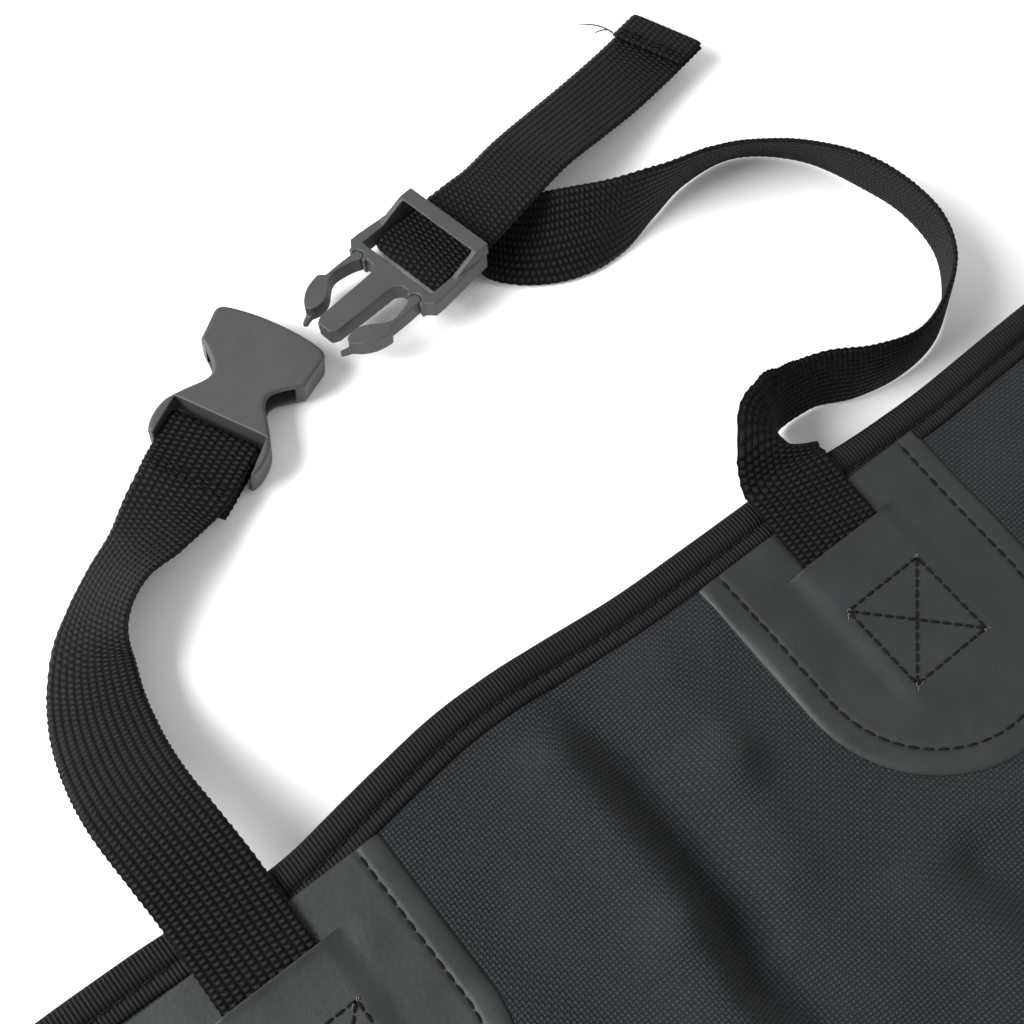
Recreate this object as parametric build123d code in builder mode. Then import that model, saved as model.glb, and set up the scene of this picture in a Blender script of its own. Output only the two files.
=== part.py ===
"""Collapsed garden tool bag with a buckled pair of hanging straps, in millimetres.

The bag lies flat on its lower panel. X runs along the rim, +Y from the bag out past
the rim to the straps, +Z up. The origin is the middle of the lower panel, on the floor.
"""
import os
from math import cos, radians, sin

from build123d import *

# ---- bag ----
bag_width = 420.0  # along the rim
bag_height = 320.0  # base to rim
base_depth = 62.0  # the base panel stands this high
mouth_height = 22.0  # upper face of the upper panel beside the rim
shoulder_height = 43.0  # the same face where the pockets begin
knee_height = 25.0  # the same face under the patches
knee_drop = 60.0  # rim to the knee
flat_length = 25.0  # level stretch behind the rim
panel = 2.4  # fabric and lining together
corner_radius = 14.0  # plan corners of the lower panel
body_gap = 0.3  # room between pieces that move apart

# ---- tapes and patches ----
tape_width = 10.5  # edge binding seen on each face
tape_wall = 0.9  # one layer of the binding
tape_bulk = 1.6  # binding above the upper panel, with its seam inside
seam_width = 8.0
seam_thickness = 1.2
patch_width = 73.0
patch_length = 75.0  # from the binding to the lowest point of the round end
patch_thickness = 1.3
stitch_inset = 6.0
thread = 0.5
box_stitch = 23.3  # side of the square that holds the webbing end
box_stitch_drop = 47.0  # rim to the middle of the square

# ---- webbing ----
webbing = 25.0
webbing_thickness = 1.5
slit_drop = 21.0  # rim to the slit that the webbing leaves by
buried_length = 38.0  # webbing under the patch
hinge_gap = 0.15  # each side of the crease
hinge_rise = 0.85  # crease axis above the webbing
loose = 0.4  # room beside and around the webbing

# ---- pockets ----
pocket_count = 4
pocket_length = 146.0
pocket_span = 388.0
pocket_gap = 10.0  # room under the pocket cloth
pocket_wall = 2.0
pocket_tape = 9.0
pocket_foot = 6.0  # closed strip at the base end

# ---- socket ----
socket_thickness = 10.4
socket_length = 34.0  # bar to mouth
cavity_height = 6.8
cavity_end = 9.5
bar_radius = 1.6
bar_clearance = 0.15
ear_wall = 2.6
ear_reach = 6.5
slot_end = 4.8
loop_reach = 12.0  # sewn loop behind the bar

# ---- plug ----
guide_length = 24.4
guide_half_width = 3.9
plug_thickness = 5.2
rail_wall = 2.2
frame_length = 21.5
far_bar = 3.0
ladder_bar = 3.0
ladder_place = 8.0  # cross bar to the middle of the ladder bar
arm_pivot_x = 2.4
arm_pivot_y = 11.0
arm_root = 1.6
root_clearance = 0.15

rim_y = bag_height / 2
base_y = -bag_height / 2
half_web = webbing / 2
half_thick = webbing_thickness / 2
anchor_z = mouth_height + tape_bulk + 0.15 + half_thick
hinge_z = anchor_z + half_thick + hinge_rise
hinge_y = rim_y + 1.0

# The socket's bar and the plug's cross bar, and the directions that they point in.
socket_origin = (-19.4, rim_y + 97.0, 6.2)
socket_heading = (0.886, 0.464)
plug_origin = (44.4, rim_y + 107.0, 9.6)
plug_heading = (-0.992, -0.127)
plug_lean = 12.0  # degrees, its near side lies on the strap

# Strap routes: x, y beyond the rim, height of the lowest edge, lean in degrees.
left_route = [
    (-84.5, 13.0, 25.5, 0), (-85.0, 28.0, 22.0, -2), (-83.5, 43.0, 13.0, -8),
    (-80.5, 55.0, 5.0, -18), (-75.5, 65.5, 0.3, -30), (-68.0, 74.0, 0.3, -42),
    (-58.5, 80.0, 0.3, -42), (-47.5, 84.0, 0.8, -30), (-37.5, 88.5, 4.0, -12),
]
right_route = [
    (84.6, 7.0, 24.3, 6), (88.5, 13.0, 15.5, 36), (95.5, 17.0, 6.0, 58), (105.0, 18.5, 0.8, 72),
    (115.0, 17.0, 0.3, 78), (127.0, 11.5, 0.3, 82), (141.0, 8.5, 0.3, 85),
    (156.5, 12.0, 0.3, 79), (167.0, 19.5, 0.3, 78), (173.5, 30.0, 0.3, 74),
    (174.5, 43.0, 0.3, 72), (170.5, 57.0, 0.3, 72), (161.5, 72.0, 0.3, 66),
    (148.3, 82.0, 0.3, 66), (132.6, 85.5, 0.3, 78), (117.8, 85.5, 0.3, 94),
    (104.0, 86.5, 0.3, 116), (92.5, 90.5, 0.3, 138), (82.5, 97.5, 0.4, 162),
    (75.5, 105.0, 2.0, 180),
]
tail_spare = 0.7 * (webbing - 25.0)  # wider webbing stands higher where the tail crosses it
tail_route = [
    (81.0, 111.5, 7.6 + tail_spare, -20), (96.0, 114.8, 7.8 + tail_spare, -22),
    (112.0, 118.2, 5.0 + tail_spare, -20),
    (128.0, 121.6, 2.0, -18), (144.0, 125.0, 0.4, -18), (160.0, 128.4, 0.3, -18),
]
left_x = -84.0
right_x = 84.0
hem_length = 10.0

os.makedirs("parts", exist_ok=True)
pieces = []


def keep(part, name):
    """Label a finished piece and queue it for export."""
    part.label = name
    pieces.append(part)


# The upper panel's outer face from base to rim, as y and height.
roof_steps = [(base_y, base_depth), (0.0, shoulder_height), (rim_y - knee_drop, knee_height),
              (rim_y - flat_length, mouth_height), (rim_y, mouth_height)]


def roof(y):
    """Height of the upper panel's outer face at y."""
    for (y0, z0), (y1, z1) in zip(roof_steps, roof_steps[1:]):
        if y <= y1:
            return z0 + (z1 - z0) * (y - y0) / (y1 - y0)
    return mouth_height


def roof_strip(y0, y1, low, high):
    """Closed outline in the YZ plane between two heights over the roof line."""
    knees = [y for y, _ in roof_steps if y0 < y < y1]
    ys = [y0] + knees + [y1]
    below = [(y, roof(y) + low) for y in ys]
    above = [(y, roof(y) + high) for y in reversed(ys)]
    return below + above


def side_profile(x0, points, width, mode=Mode.ADD):
    """Extrude a YZ outline from x0 towards +X."""
    with BuildSketch(Plane.YZ.offset(x0)) as face:
        with BuildLine():
            Polyline(*points, close=True)
        make_face()
    extrude(face.sketch, amount=width, mode=mode)


def band(points, thickness):
    """Outline of a strip of even thickness along a polyline, as two offset sides."""
    upper, lower = [], []
    for i, (a, b) in enumerate(points):
        before = Vector(*points[max(i - 1, 0)])
        here = Vector(a, b)
        after = Vector(*points[min(i + 1, len(points) - 1)])
        first = (here - before) if i else (after - here)
        second = (after - here) if i < len(points) - 1 else first
        n1 = Vector(-first.Y, first.X).normalized()
        n2 = Vector(-second.Y, second.X).normalized()
        mid = (n1 + n2).normalized()
        reach = thickness / 2 / mid.dot(n1)
        upper.append(tuple(here + mid * reach)[:2])
        lower.append(tuple(here - mid * reach)[:2])
    return upper + lower[::-1]


# ---- panels ----
with BuildPart() as bottom_panel:
    with BuildSketch(Plane.XY.offset(tape_wall)):
        RectangleRounded(bag_width - 2 * tape_wall, bag_height - 2 * tape_wall, corner_radius)
    extrude(amount=panel - tape_wall)
    with BuildSketch(Plane.XY):
        RectangleRounded(bag_width - 2 * tape_width, bag_height - 2 * tape_width, corner_radius)
    extrude(amount=tape_wall)
keep(bottom_panel.part, "bottom_panel")

with BuildPart() as top_panel:
    side_profile(-bag_width / 2, roof_strip(base_y, rim_y - tape_wall, -panel, 0.0), bag_width)
    fillet(top_panel.edges().filter_by(Axis.Z), 1.2)
keep(top_panel.part, "top_panel")

with BuildPart() as base_panel:
    under = panel + body_gap
    wall = [(base_y, panel), (base_y + panel, panel), (base_y + panel, roof(base_y + panel) - under),
            (base_y, roof(base_y) - under)]
    side_profile(-bag_width / 2 + panel, wall, bag_width - 2 * panel)
keep(base_panel.part, "base_panel")

with BuildPart() as base_stiffener:
    board_y = base_y + panel
    board = [(board_y, panel + 1), (board_y + 2, panel + 1),
             (board_y + 2, base_depth - 2 * panel), (board_y, base_depth - 2 * panel)]
    side_profile(-bag_width / 2 + 12, board, bag_width - 24)
keep(base_stiffener.part, "base_stiffener")

for side, x0 in (("left", -bag_width / 2), ("right", bag_width / 2 - panel)):
    ceiling = [(y, z - under) for y, z in roof_steps[:-1]]
    fold = [(base_y, panel), (rim_y - tape_wall, panel), (rim_y - tape_wall, mouth_height - under)]
    fold += ceiling[::-1]
    with BuildPart() as gusset:
        side_profile(x0, fold, panel)
    keep(gusset.part, f"gusset_{side}")

# ---- edge bindings ----
with BuildPart() as rim_binding_top:
    low = mouth_height - panel
    wrap = [(rim_y - tape_width, low - tape_wall), (rim_y, low - tape_wall),
            (rim_y, mouth_height + tape_bulk), (rim_y - tape_width, mouth_height + tape_bulk),
            (rim_y - tape_width, mouth_height), (rim_y - tape_wall, mouth_height),
            (rim_y - tape_wall, low), (rim_y - tape_width, low)]
    side_profile(-bag_width / 2 + panel, wrap, bag_width - 2 * panel)
keep(rim_binding_top.part, "rim_binding_top")

with BuildPart() as rim_binding_bottom:
    wrap = [(rim_y - tape_width, 0), (rim_y, 0), (rim_y, panel + tape_wall),
            (rim_y - tape_width, panel + tape_wall), (rim_y - tape_width, panel),
            (rim_y - tape_wall, panel), (rim_y - tape_wall, tape_wall),
            (rim_y - tape_width, tape_wall)]
    side_profile(-bag_width / 2 + corner_radius + tape_wall, wrap,
                 bag_width - 2 * (corner_radius + tape_wall))
keep(rim_binding_bottom.part, "rim_binding_bottom")

for side, x0 in (("left", -bag_width / 2), ("right", bag_width / 2 - panel)):
    with BuildPart() as rim_binding_side:
        edge = [(rim_y - tape_wall, panel), (rim_y, panel),
                (rim_y, mouth_height - under), (rim_y - tape_wall, mouth_height - under)]
        side_profile(x0, edge, panel)
    keep(rim_binding_side.part, f"rim_binding_{side}")

for side, x0 in (("left", -bag_width / 2), ("right", bag_width / 2 - seam_width)):
    with BuildPart() as seam_tape:
        side_profile(x0, roof_strip(base_y, rim_y - tape_width, 0.0, seam_thickness), seam_width)
    keep(seam_tape.part, f"seam_tape_{side}")

with BuildPart() as base_tape:
    side_profile(-bag_width / 2 + seam_width,
                 roof_strip(base_y, base_y + seam_width, 0.0, seam_thickness),
                 bag_width - 2 * seam_width)
keep(base_tape.part, "base_seam_tape")

with BuildPart() as base_foot_tape:
    end = base_y - seam_thickness
    foot = [(end, 0), (base_y, 0), (base_y, seam_width), (end, seam_width)]
    side_profile(-bag_width / 2 + corner_radius, foot, bag_width - 2 * corner_radius)
keep(base_foot_tape.part, "base_foot_tape")

# ---- patches with the webbing ends ----
patch_top = rim_y - tape_width
round_y = patch_top - patch_length + patch_width / 2
slit_y = rim_y - slit_drop
cover = webbing_thickness + 0.2 + patch_thickness
box_y = rim_y - box_stitch_drop


def tombstone(x, inset):
    """Round-ended patch outline about x, moved in by inset on its sides and round end."""
    r = patch_width / 2 - inset
    with BuildLine() as edge:
        Line((x - r, patch_top), (x - r, round_y))
        ThreePointArc((x - r, round_y), (x, round_y - r), (x + r, round_y))
        Line((x + r, round_y), (x + r, patch_top))
        Line((x + r, patch_top), (x - r, patch_top))
    make_face(edge.edges())


def on_roof(x, y0, y1, low, high, width, mode=Mode.ADD):
    """Layer of even height over the upper panel, centred on x."""
    side_profile(x - width / 2, roof_strip(y0, y1, low, high), width, mode)


def cut_to(face, mode):
    """Cut the part to, or by, a plan outline taken straight up through the bag."""
    extrude(face.sketch, amount=2 * base_depth, mode=mode)


for side, x in (("left", left_x), ("right", right_x)):
    foot_y = round_y - patch_width / 2
    buried_y = slit_y - buried_length
    with BuildPart() as patch:
        on_roof(x, foot_y, patch_top, 0.0, patch_thickness, patch_width)
        with BuildSketch() as outline:
            tombstone(x, 0)
        cut_to(outline, Mode.INTERSECT)
        on_roof(x, buried_y - 3, slit_y, 0.0, cover, webbing + 6)
        on_roof(x, buried_y, slit_y + 1.6, 0.0, webbing_thickness + 0.2, webbing + 2 * loose,
                Mode.SUBTRACT)
        on_roof(x, slit_y - 2.4, slit_y + 1.6, 0.0, cover, webbing + 2 * loose, Mode.SUBTRACT)
    keep(patch.part, f"patch_{side}")

    rest = 0.1 + half_thick
    over_patch = mouth_height + patch_thickness + rest
    bends = [y for y, _ in roof_steps if buried_y + 1 < y < slit_y - 2]
    run = [(y, roof(y) + rest) for y in [buried_y + 1] + bends]
    run += [(slit_y - 1.9, mouth_height + rest), (slit_y + 0.7, over_patch),
            (patch_top - 2.0, over_patch), (patch_top + 0.6, anchor_z),
            (hinge_y - hinge_gap, anchor_z)]
    with BuildPart() as anchor:
        side_profile(x - half_web, band(run, webbing_thickness), webbing)
    keep(anchor.part, f"strap_anchor_{side}")

    with BuildPart() as edge_stitch:
        on_roof(x, foot_y, patch_top, patch_thickness, patch_thickness + thread, patch_width)
        with BuildSketch() as line:
            tombstone(x, stitch_inset)
            with BuildSketch(mode=Mode.SUBTRACT):
                tombstone(x, stitch_inset + thread)
            with Locations((x, patch_top)):
                Rectangle(patch_width, 2 * thread, mode=Mode.SUBTRACT)
        cut_to(line, Mode.INTERSECT)
    keep(edge_stitch.part, f"edge_stitch_{side}")

    with BuildPart() as box_stitching:
        on_roof(x, box_y - box_stitch / 2, box_y + box_stitch / 2, cover, cover + thread, box_stitch)
        with BuildSketch() as cross:
            with Locations((x, box_y)):
                Rectangle(box_stitch, box_stitch)
                Rectangle(box_stitch - 2 * thread, box_stitch - 2 * thread, mode=Mode.SUBTRACT)
                for turn in (45, -45):
                    with Locations(Rotation(0, 0, turn)):
                        Rectangle(box_stitch * 2**0.5 - 2 * thread, thread)
        cut_to(cross, Mode.INTERSECT)
    keep(box_stitching.part, f"box_stitch_{side}")

with BuildPart() as rim_stitch:
    seam_y = rim_y - 0.65 * tape_width
    free = half_web + 1.5
    spans = [(-bag_width / 2 + 4, left_x - free), (left_x + free, right_x - free),
             (right_x + free, bag_width / 2 - 4)]
    for x0, x1 in spans:
        with BuildSketch(Plane.XY.offset(mouth_height + tape_bulk)):
            with Locations(((x0 + x1) / 2, seam_y)):
                Rectangle(x1 - x0, thread)
        extrude(amount=thread)
keep(rim_stitch.part, "rim_stitch")

# ---- pockets on the upper panel, beside the base ----
pocket_y0 = base_y + seam_width + 1.0
pocket_y1 = pocket_y0 + pocket_length
pitch = pocket_span / pocket_count
with BuildPart() as pocket_cloth:
    outline = roof_strip(pocket_y0, pocket_y1, 0.0, pocket_gap + pocket_wall)
    side_profile(-pocket_span / 2, outline, pocket_span)
    for i in range(pocket_count):
        x0 = -pocket_span / 2 + i * pitch + pocket_wall
        hollow = roof_strip(pocket_y0 + pocket_foot, pocket_y1, 0.0, pocket_gap)
        side_profile(x0, hollow, pitch - 2 * pocket_wall, Mode.SUBTRACT)
keep(pocket_cloth.part, "pocket_cloth")

with BuildPart() as pocket_tape_strip:
    top = roof_strip(pocket_y1 - pocket_tape, pocket_y1, pocket_gap + pocket_wall,
                     pocket_gap + pocket_wall + tape_wall)
    side_profile(-pocket_span / 2, top, pocket_span)
keep(pocket_tape_strip.part, "pocket_tape")

with BuildPart() as pocket_stitch:
    for i in range(1, pocket_count):
        x0 = -pocket_span / 2 + i * pitch - thread / 2
        line = roof_strip(pocket_y0 + 2, pocket_y1 - pocket_tape - 1, pocket_gap + pocket_wall,
                          pocket_gap + pocket_wall + thread)
        side_profile(x0, line, thread)
keep(pocket_stitch.part, "pocket_stitch")

# ---- socket half of the buckle, pointing along its own X ----
socket_plane = Plane(origin=socket_origin, x_dir=(*socket_heading, 0), z_dir=(0, 0, 1))
ear_y = half_web + loose + ear_wall
mouth_y = ear_y + 0.1
wall_y = mouth_y - 3.0
window_y = ear_y - 7.6


def socket_outline():
    """Plan of the socket: mouth, side windows and the two webbing ears."""
    length = socket_length
    for s in (1, -1):
        with BuildLine() as half:
            mouth = Line((length + 0.8, 0), (length + 0.8, s * 1.0))
            corner = Spline((length + 0.8, s * 1.0), (length - 0.6, s * (mouth_y - 2.5)),
                            tangents=((0, s), (-0.25, s)))
            shoulder = Spline(corner @ 1, (length - 3.4, s * mouth_y),
                              tangents=((-0.25, s), (-1, -0.02 * s)))
            side = Line(shoulder @ 1, (22.0, s * (mouth_y - 0.8)))
            notch = Spline(side @ 1, (15.2, s * window_y), (3.5, s * (ear_y - 0.9)),
                           tangents=((-0.8, -s), (-1, 0.55 * s)))
            ear = Spline(notch @ 1, (-1.5, s * ear_y), (-ear_reach, s * (ear_y - 1.2)),
                         tangents=((-1, 0.4 * s), (-1, -0.6 * s)))
            Line(ear @ 1, (-ear_reach, 0))
            Line((-ear_reach, 0), (length + 0.8, 0))
        make_face(half.edges())


with BuildPart() as socket_body:
    with BuildSketch(socket_plane.offset(-socket_thickness / 2)):
        socket_outline()
    extrude(amount=socket_thickness)
    caps = socket_body.faces().filter_by(Axis.Z)
    fillet(caps.edges(), 1.1)
    with BuildSketch(socket_plane.offset(-cavity_height / 2)):
        with Locations(((cavity_end + socket_length + 3) / 2, 0)):
            Rectangle(socket_length + 3 - cavity_end, 2 * wall_y)
    extrude(amount=cavity_height, mode=Mode.SUBTRACT)
    with BuildSketch(socket_plane.offset(-socket_thickness)):
        with Locations(((slot_end - 2 * ear_reach) / 2, 0)):
            Rectangle(slot_end + 2 * ear_reach, webbing + 2 * loose)
    extrude(amount=2 * socket_thickness, mode=Mode.SUBTRACT)
    rib_length = 11.0
    for s in (1, -1):
        with BuildSketch(socket_plane.offset(-cavity_height / 2)):
            with Locations((cavity_end + rib_length / 2, s * (guide_half_width + 1.0))):
                Rectangle(rib_length, 1.0)
        extrude(amount=cavity_height)
    bar_side = Plane(origin=socket_plane.origin, x_dir=(0, 0, 1), z_dir=socket_plane.y_dir)
    with BuildSketch(bar_side.offset(-(half_web + loose + 1))):
        Circle(bar_radius)
    extrude(amount=2 * (half_web + loose + 1))
keep(socket_body.part, "socket_body")

# ---- sewn loop of the left strap, round the socket's bar ----
loop_side = Plane(origin=socket_plane.origin, x_dir=socket_plane.x_dir, z_dir=-socket_plane.y_dir)
inner = bar_radius + bar_clearance
outer = inner + webbing_thickness
with BuildPart() as strap_loop:
    with BuildSketch(loop_side.offset(-half_web)):
        Circle(outer)
        with Locations((-loop_reach / 2, 0)):
            Rectangle(loop_reach, 2 * outer)
        Circle(inner, mode=Mode.SUBTRACT)
        with Locations((-loop_reach / 2, 0)):
            Rectangle(loop_reach, 2 * inner, mode=Mode.SUBTRACT)
    extrude(amount=webbing)
keep(strap_loop.part, "strap_loop_left")

with BuildPart() as loop_tack:
    with BuildSketch(socket_plane.offset(outer)):
        for place in (-loop_reach + 1.5, -loop_reach + 3.5):
            with Locations((place, 0)):
                Rectangle(thread, webbing - 4)
    extrude(amount=thread)
keep(loop_tack.part, "loop_tack")

# ---- plug half of the buckle, pointing along its own X ----
plug_along = Vector(*plug_heading).normalized()
plug_level = Vector(0, 0, 1).cross(plug_along)
plug_normal = Vector(0, 0, 1) * cos(radians(plug_lean)) - plug_level * sin(radians(plug_lean))
plug_plane = Plane(origin=plug_origin, x_dir=plug_along, z_dir=plug_normal)
half_plug = plug_thickness / 2
rail_inner = half_web + loose + 0.1
near_y = rail_inner + rail_wall + 1.0
far_y = rail_inner + rail_wall - 0.6
layer_top = 1.2  # upper layer of webbing lies just under the far bar
across = Plane(origin=plug_plane.origin, x_dir=plug_plane.x_dir, z_dir=-plug_plane.y_dir)


def plug_side(points, width):
    """Extrude an outline drawn along the plug, centred across it."""
    with BuildSketch(across.offset(-width / 2)) as face:
        with BuildLine():
            Polyline(*points, close=True)
        make_face()
    extrude(face.sketch, amount=width)


with BuildPart() as plug_frame:
    for s in (1, -1):
        with BuildSketch(plug_plane.offset(-half_plug)):
            with BuildLine():
                Polyline((-frame_length, s * rail_inner), (1.6, s * rail_inner),
                         (1.6, s * (near_y - 2.0)), (0.0, s * near_y), (-3.0, s * near_y),
                         (-frame_length + 1, s * far_y), (-frame_length, s * (far_y - 1)), close=True)
            make_face()
        extrude(amount=plug_thickness)
    cheek = [(-frame_length, half_plug - 0.5), (-frame_length, 6.2), (-frame_length + 4, 6.2),
             (-9.0, half_plug), (-9.0, half_plug - 0.5)]
    for s in (1, -1):
        with BuildSketch(across.offset(s * (rail_inner + far_y) / 2 - (far_y - rail_inner) / 2)):
            with BuildLine():
                Polyline(*cheek, close=True)
            make_face()
        extrude(amount=far_y - rail_inner)
    plug_side([(-1.6, -half_plug), (1.6, -half_plug), (1.6, half_plug), (-1.6, half_plug)],
              2 * rail_inner + 1)
    plug_side([(-frame_length, 6.2), (-frame_length, layer_top + 0.4),
               (-frame_length + 1.6, layer_top + 0.4), (-frame_length + far_bar + 1.6, 6.2)],
              2 * rail_inner + 1)
    plug_side([(-ladder_place - ladder_bar / 2, -2.3), (-ladder_place + ladder_bar / 2, -2.3),
               (-ladder_place + ladder_bar / 2, -0.5), (-ladder_place - ladder_bar / 2, -0.5)],
              2 * rail_inner + 1)
    with BuildSketch(plug_plane.offset(-half_plug)):
        with BuildLine():
            Polyline((1.0, -guide_half_width - 2), (1.0, guide_half_width + 2),
                     (3.4, guide_half_width), (guide_length - 2.0, guide_half_width - 0.5),
                     (guide_length, guide_half_width - 1.6), (guide_length, 1.6 - guide_half_width),
                     (guide_length - 2.0, 0.5 - guide_half_width), (3.4, -guide_half_width), close=True)
        make_face()
        for s in (1, -1):
            with Locations((arm_pivot_x - 1.0, s * arm_pivot_y)):
                Rectangle(2.4, 2 * (arm_root + 1.4))
    extrude(amount=plug_thickness)
    with BuildSketch(plug_plane.offset(-2 * plug_thickness)):
        for s in (1, -1):
            with Locations((arm_pivot_x, s * arm_pivot_y)):
                Circle(arm_root + root_clearance)
    extrude(amount=4 * plug_thickness, mode=Mode.SUBTRACT)
keep(plug_frame.part, "plug_frame")

for side, s in (("left", -1), ("right", 1)):
    with BuildPart() as latch_arm:
        y = arm_pivot_y
        with BuildSketch(plug_plane.offset(-half_plug + 0.2)):
            with Locations((arm_pivot_x, s * y)):
                Circle(arm_root)
            with BuildLine():
                Spline((arm_pivot_x, s * (y - 1.4)), (7.5, s * (y + 0.1)), (11.6, s * (y + 0.1)),
                       (14.5, s * (y - 2.0)), (22.5, s * (y - 4.0)))
                Line((22.5, s * (y - 4.0)), (23.4, s * (y - 2.6)))
                Spline((23.4, s * (y - 2.6)), (19.5, s * (y + 1.4)), (13.6, s * (y + 3.0)))
                Line((13.6, s * (y + 3.0)), (12.2, s * (y + 1.5)))
                Spline((12.2, s * (y + 1.5)), (8.0, s * (y + 1.6)), (arm_pivot_x, s * (y + 1.4)))
                Line((arm_pivot_x, s * (y + 1.4)), (arm_pivot_x, s * (y - 1.4)))
            make_face()
        extrude(amount=plug_thickness - 0.4)
        with BuildSketch(plug_plane.offset(-half_plug + 0.2)):
            with BuildLine():
                Polyline((20.0, s * (y - 3.0)), (25.2, s * (y - 4.6)), (25.8, s * (y - 3.6)),
                         (23.0, s * (y - 2.0)), (20.0, s * (y + 0.6)), close=True)
            make_face()
        extrude(amount=1.5)
    keep(latch_arm.part, f"latch_arm_{side}")

# ---- webbing through the ladder bars ----
lower_z = -2.3 - 0.2 - half_thick
upper_z = layer_top - half_thick
bend_x = -ladder_place + ladder_bar / 2 + 0.2 + half_thick
reach_x = -frame_length - 2.5
with BuildPart() as strap_wrap:
    path = [(reach_x, lower_z), (bend_x - 0.8, lower_z), (bend_x, lower_z + 0.8),
            (bend_x, upper_z - 0.8), (bend_x - 0.8, upper_z), (reach_x, upper_z)]
    plug_side(band(path, webbing_thickness), webbing)
keep(strap_wrap.part, "strap_wrap")


# ---- free lengths of webbing ----
def stations(route):
    """Centre point and lean of each station, from the height of its lowest edge."""
    rows = []
    for x, y, lift, lean in route:
        rise = half_web * abs(sin(radians(lean))) + half_thick * abs(cos(radians(lean)))
        rows.append((Vector(x, rim_y + y, lift + rise), lean))
    return rows


def ribbon(rows, first, last):
    """Planes across the webbing: each leans about the line through its neighbours."""
    planes = []
    for i, (point, lean) in enumerate(rows):
        if i == 0:
            along = first
        elif i == len(rows) - 1:
            along = last
        else:
            along = (rows[i + 1][0] - rows[i - 1][0]).normalized()
        level = Vector(-along.Y, along.X, 0).normalized()
        rise = along.cross(level)
        width = level * cos(radians(lean)) + rise * sin(radians(lean))
        planes.append(Plane(origin=point, x_dir=width, z_dir=along))
    return planes


def weave(planes):
    """Loft the webbing's section through the planes."""
    sections = []
    for plane in planes:
        with BuildSketch(plane) as section:
            Rectangle(webbing, webbing_thickness)
        sections.append(section.sketch)
    loft(sections, ruled=True)


def on_plug(x, z):
    """A point on the plug's middle line."""
    return plug_plane.from_local_coords(Vector(x, 0, z))


outward = Vector(0, 1, 0)
start_y = hinge_y - rim_y + hinge_gap
to_socket = Vector(*socket_heading, 0)
left_end = Vector(*socket_origin) + to_socket * (-loop_reach) + Vector(0, 0, outer - half_thick)
left_rows = [(Vector(left_x, rim_y + start_y, anchor_z), 0)] + stations(left_route) + [(left_end, 0)]
with BuildPart() as strap_left:
    weave(ribbon(left_rows, outward, to_socket))
keep(strap_left.part, "strap_left")

to_plug = plug_plane.x_dir
right_rows = [(Vector(right_x, rim_y + start_y, anchor_z), 0)] + stations(right_route)
right_rows += [(on_plug(reach_x, lower_z), 180 + plug_lean)]
with BuildPart() as strap_right:
    weave(ribbon(right_rows, outward, to_plug))
keep(strap_right.part, "strap_right")

tail_rows = [(on_plug(reach_x, upper_z), -plug_lean)] + stations(tail_route)
tail_end = (tail_rows[-1][0] - tail_rows[-2][0]).normalized()
tail_planes = ribbon(tail_rows, to_plug * -1, tail_end)
with BuildPart() as strap_tail:
    weave(tail_planes)
keep(strap_tail.part, "strap_tail")

hem_plane = tail_planes[-1]
with BuildPart() as tail_hem:
    with BuildSketch(hem_plane):
        with Locations((0, webbing_thickness)):
            Rectangle(webbing, webbing_thickness)
    extrude(amount=-hem_length)
keep(tail_hem.part, "tail_hem")

for part in pieces:
    export_step(part, f"parts/{part.label}.step")
print(len(pieces), "pieces")
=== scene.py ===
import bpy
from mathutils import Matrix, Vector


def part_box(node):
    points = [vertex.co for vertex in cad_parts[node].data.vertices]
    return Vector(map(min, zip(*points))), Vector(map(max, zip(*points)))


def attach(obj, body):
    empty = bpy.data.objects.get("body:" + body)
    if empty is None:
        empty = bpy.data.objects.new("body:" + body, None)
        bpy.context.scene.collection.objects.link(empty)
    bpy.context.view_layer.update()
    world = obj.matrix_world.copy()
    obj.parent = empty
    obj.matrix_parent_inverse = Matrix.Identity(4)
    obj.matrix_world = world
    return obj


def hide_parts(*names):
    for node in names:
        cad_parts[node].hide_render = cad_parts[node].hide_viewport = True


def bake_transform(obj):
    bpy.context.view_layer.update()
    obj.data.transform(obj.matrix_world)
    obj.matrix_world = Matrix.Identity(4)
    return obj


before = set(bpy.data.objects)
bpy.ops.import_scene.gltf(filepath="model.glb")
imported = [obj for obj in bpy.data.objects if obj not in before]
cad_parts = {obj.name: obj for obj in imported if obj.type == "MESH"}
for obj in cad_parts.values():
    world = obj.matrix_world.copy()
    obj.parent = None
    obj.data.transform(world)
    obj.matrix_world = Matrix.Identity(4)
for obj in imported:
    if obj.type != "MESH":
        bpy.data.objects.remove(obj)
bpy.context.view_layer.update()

import math

import bpy
import numpy as np
from mathutils import Matrix, Vector

mm = 0.001
rng = np.random.default_rng(11)  # every random draw comes from here, in order


def span(node):
    low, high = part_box(node)
    return np.array(low) / mm, np.array(high) / mm


topLow, topHigh = span("top_panel")
rimY = span("rim_binding_top")[1][1]
baseY = topLow[1]
halfWidth = topHigh[0]
patchTop = span("patch_left")[1][1]
patchFoot = span("patch_left")[0][1]
patchWidth = span("patch_left")[1][0] - span("patch_left")[0][0]
leftX = (span("patch_left")[0][0] + span("patch_left")[1][0]) / 2
rightX = (span("patch_right")[0][0] + span("patch_right")[1][0]) / 2
boxLow, boxHigh = span("box_stitch_left")


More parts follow.
